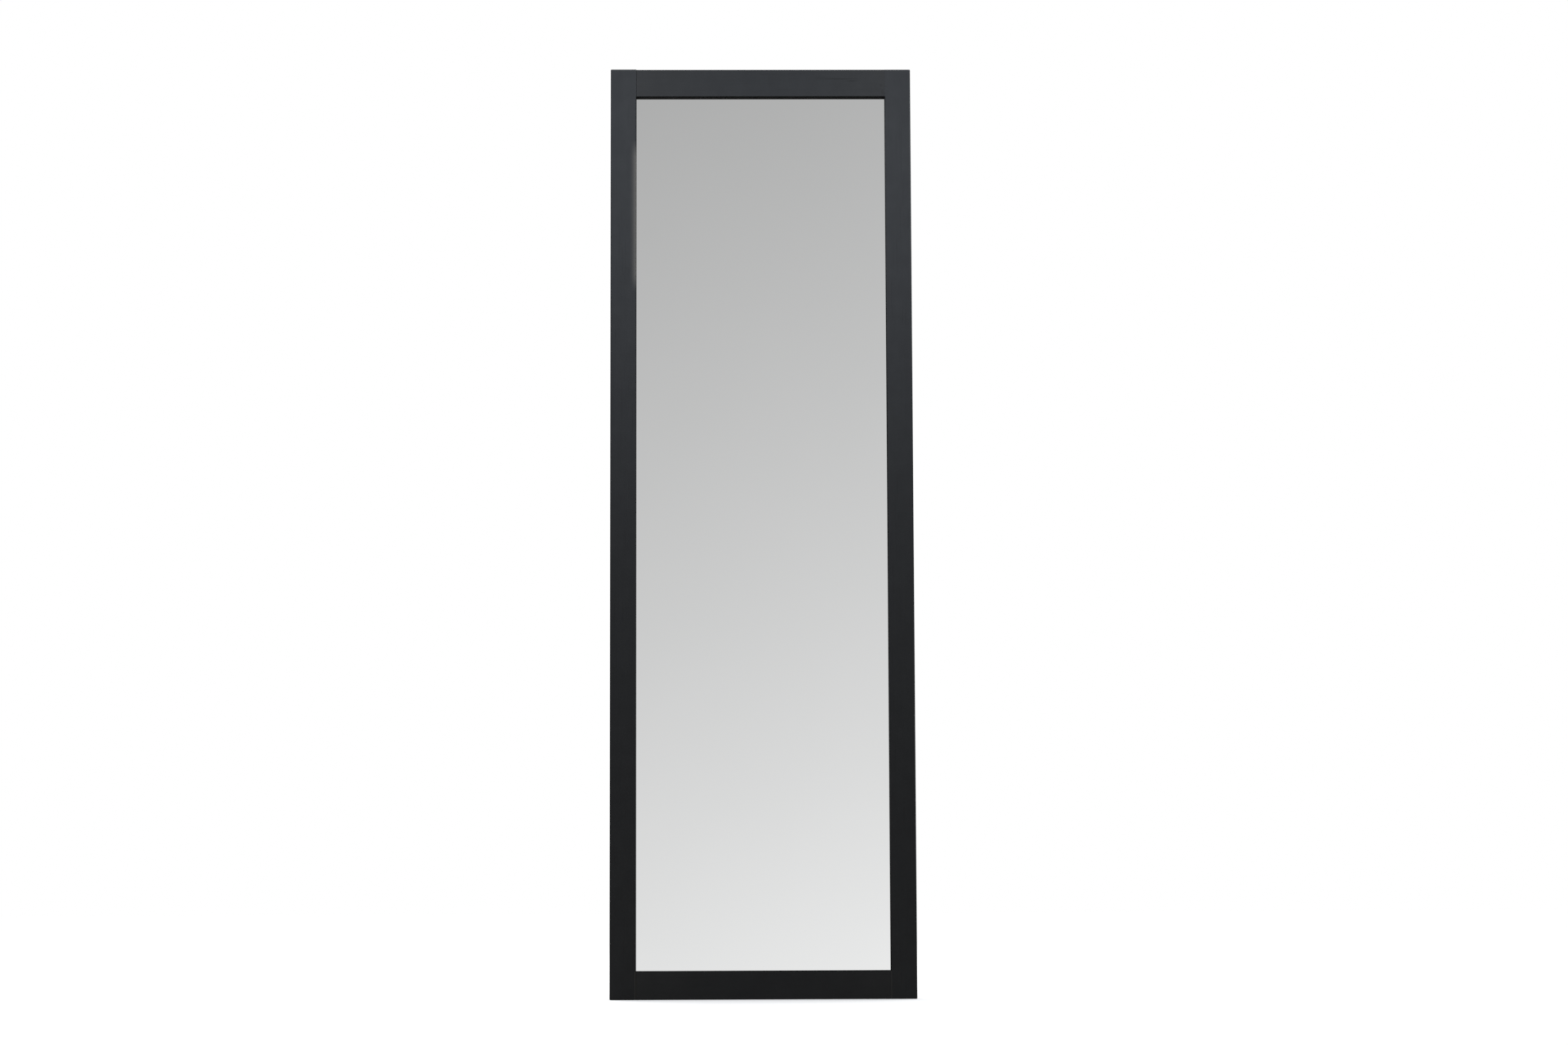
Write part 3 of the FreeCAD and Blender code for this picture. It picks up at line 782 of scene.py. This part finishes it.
def fit_screws():
    """Cross-head screws in place of the frame's own, each group with its own turns."""
    tree = screw_tree()
    pattern = link(screw_pattern(), "screw_pattern")
    groups = {"button_screws": button_seats(), "hanger_screws": corner_seats("hanger_screws"),
              "bumper_screws": corner_seats("bumper_screws")}
    for seed, (group, places) in enumerate(groups.items()):
        screws = grown(tree, point_mesh(places), f"{group}_cross_head", {
            "Screw": pattern, "Turn": math.pi / 2, "Seed": seed, "Finish": zinc})
        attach(screws, "frame")
        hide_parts(group)
    bpy.data.objects.remove(pattern)


# Hanger rings

def ring_tree():
    """Round wire bent to a D: a straight bar with tight corners, and a half-round end."""
    tree, given, result = geometry_tree("wire_ring", {
        "Pivot": "Vector", "Half Width": "Float", "Drop": "Float", "Corner": "Float", "Wire": "Float",
        "Tilt": "Float", "Finish": "Material"})
    half, corner = given.outputs["Half Width"], given.outputs["Corner"]
    far = times(tree, half, -1.0)
    down = times(tree, given.outputs["Drop"], -1.0)
    corners = {}
    for number, (x, z) in enumerate(((far, 0.0), (half, 0.0), (half, down), (far, down)), start=1):
        corners[f"Point {number}"] = node(tree, "ShaderNodeCombineXYZ", {"X": x, "Z": z}).outputs[0]
    outline = node(tree, "GeometryNodeCurvePrimitiveQuadrilateral", corners, mode="POINTS")
    index = node(tree, "GeometryNodeInputIndex").outputs[0]
    is_lower = math_node(tree, "GREATER_THAN", index, 1)  # the lower corners come last, as 2 and 3
    wider = math_node(tree, "SUBTRACT", times(tree, half, RING_END_SHARE), corner)
    radius = math_node(tree, "MULTIPLY_ADD", is_lower, wider, corner)
    bent = node(tree, "GeometryNodeFilletCurve", {
        "Curve": outline.outputs["Curve"], "Count": RING_SEGMENTS, "Radius": radius}, mode="POLY")
    section = node(tree, "GeometryNodeCurvePrimitiveCircle", {
        "Resolution": RING_SEGMENTS, "Radius": times(tree, given.outputs["Wire"], 0.5)})
    wire = node(tree, "GeometryNodeCurveToMesh", {
        "Curve": bent.outputs["Curve"], "Profile Curve": section.outputs["Curve"]})
    lean = node(tree, "ShaderNodeCombineXYZ", {"X": given.outputs["Tilt"]}).outputs[0]
    hung = node(tree, "GeometryNodeTransform", {
        "Geometry": wire.outputs["Mesh"], "Translation": given.outputs["Pivot"], "Rotation": lean})
    smooth = node(tree, "GeometryNodeSetShadeSmooth", {"Geometry": hung.outputs["Geometry"]})
    end_tree(tree, smooth.outputs["Geometry"], given.outputs["Finish"], result)
    return tree


def fit_rings():
    """A wire ring in place of each of the frame's own. Its length and tilt come from that ring's box."""
    tree = ring_tree()
    for side in ("left", "right"):
        body, name = f"{side}_ring", f"{side}_hanger_ring"
        low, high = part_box(name)
        pivot = Vector(next(joint["pos_m"] for joint in frame["joints"] if joint["child"] == body))
        out, down = high.y - RING_WIRE / 2 - pivot.y, pivot.z - low.z - RING_WIRE / 2
        ring = grown(tree, bpy.data.meshes.new("empty"), f"{side}_ring_wire", {
            "Pivot": pivot, "Half Width": (high.x - low.x - RING_WIRE) / 2, "Drop": math.hypot(out, down),
            "Corner": RING_CORNER, "Wire": RING_WIRE, "Tilt": math.atan2(out, down), "Finish": zinc})
        clean(ring.data)
        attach(ring, body)
        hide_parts(name)


fit_screws()
fit_rings()


# Studio

def white_floor():
    """A pale floor that melts into the white ground, with a soft painted shadow round the mirror's foot where
    its glow fades.
    """
    mesh = bpy.data.meshes.new("floor")
    corners = [(-FLOOR_REACH, -FLOOR_REACH), (FLOOR_REACH, -FLOOR_REACH),
               (FLOOR_REACH, FLOOR_REACH), (-FLOOR_REACH, FLOOR_REACH)]
    mesh.from_pydata([(x, y, cad_box[0].z - FLOOR_GAP) for x, y in corners], [], [(0, 1, 2, 3)])
    floor = link(mesh, "floor")
    made, tree, shader = material("floor_white")
    path = node(tree, "ShaderNodeLightPath")
    # Painted shadow: the glow that the camera sees fades by ambient occlusion near the mirror's foot
    painted_shadow_openness = node(tree, "ShaderNodeAmbientOcclusion", {"Distance": FLOOR_PAINTED_SHADOW_REACH},
                    samples=FLOOR_PAINTED_SHADOW_SAMPLES).outputs["AO"]
    set_shader(tree, shader, Base_Color=grey(FLOOR_TONE), Roughness=1.0, Specular_IOR_Level=0.0,
               Emission_Color=grey(1.0),
               Emission_Strength=times(tree, painted_shadow_openness, FLOOR_GLOW, path.outputs["Is Camera Ray"]))
    mesh.materials.append(made)
    floor.visible_glossy = False


def studio_world():
    """White to the camera, a smooth light-to-dark studio in reflections, and an even fill elsewhere."""
    world = bpy.data.worlds.new("studio")
    bpy.context.scene.world = world
    world.use_nodes = True
    tree = world.node_tree
    tree.nodes.clear()
    path = node(tree, "ShaderNodeLightPath").outputs
    x, _, z = coordinates(tree, node(tree, "ShaderNodeTexCoord").outputs["Generated"])
    power = math_node(tree, "MULTIPLY_ADD", x, STUDIO_LEAN, times(tree, z, STUDIO_FALL))
    level = times(tree, math_node(tree, "EXPONENT", power), STUDIO_LEVEL)
    level = math_node(tree, "MINIMUM", math_node(tree, "MAXIMUM", level, STUDIO_DARKEST), STUDIO_LIGHTEST)
    seen = math_node(tree, "MAXIMUM", path["Is Glossy Ray"], path["Is Transmission Ray"])
    above_fill = math_node(tree, "SUBTRACT", level, FILL_LEVEL)
    strength = math_node(tree, "MULTIPLY_ADD", seen, above_fill, FILL_LEVEL)
    below_white = math_node(tree, "SUBTRACT", 1.0, strength)
    strength = math_node(tree, "MULTIPLY_ADD", path["Is Camera Ray"], below_white, strength)
    sky = node(tree, "ShaderNodeBackground", {"Color": grey(1.0), "Strength": strength})
    output = tree.nodes.new("ShaderNodeOutputWorld")
    tree.links.new(sky.outputs["Background"], output.inputs["Surface"])


def soft_lamp(name, place, target, size, power, colour, glossy):
    """A rectangular lamp aimed at a point. The camera doesn't see it, and reflections do if it is glossy."""
    data = bpy.data.lights.new(name, "AREA")
    data.shape = "RECTANGLE"
    data.size, data.size_y = size
    data.energy = power
    data.color = colour
    lamp = link(data, name)
    lamp.location = place
    lamp.rotation_euler = (Vector(target) - Vector(place)).to_track_quat("-Z", "Y").to_euler()
    lamp.visible_camera = False
    lamp.visible_glossy = glossy


def set_camera():
    """A camera that faces +Y, tipped up, turned and rolled a little."""
    data = bpy.data.cameras.new("camera")
    data.lens = CAMERA_LENS
    data.sensor_width = CAMERA_SENSOR
    camera = link(data, "camera")
    camera.location = (CAMERA_X, FRAME_FRONT - CAMERA_DISTANCE, CAMERA_HEIGHT)
    aim = (Matrix.Rotation(CAMERA_YAW, 3, "Z") @ Matrix.Rotation(math.pi / 2 + CAMERA_PITCH, 3, "X")
           @ Matrix.Rotation(CAMERA_ROLL, 3, "Z"))
    camera.rotation_euler = aim.to_euler()
    bpy.context.scene.camera = camera


white_floor()
studio_world()
for lamp_name, lamp in LAMPS.items():
    soft_lamp(lamp_name, **lamp)
set_camera()
bpy.context.scene.view_settings.view_transform = "Standard"
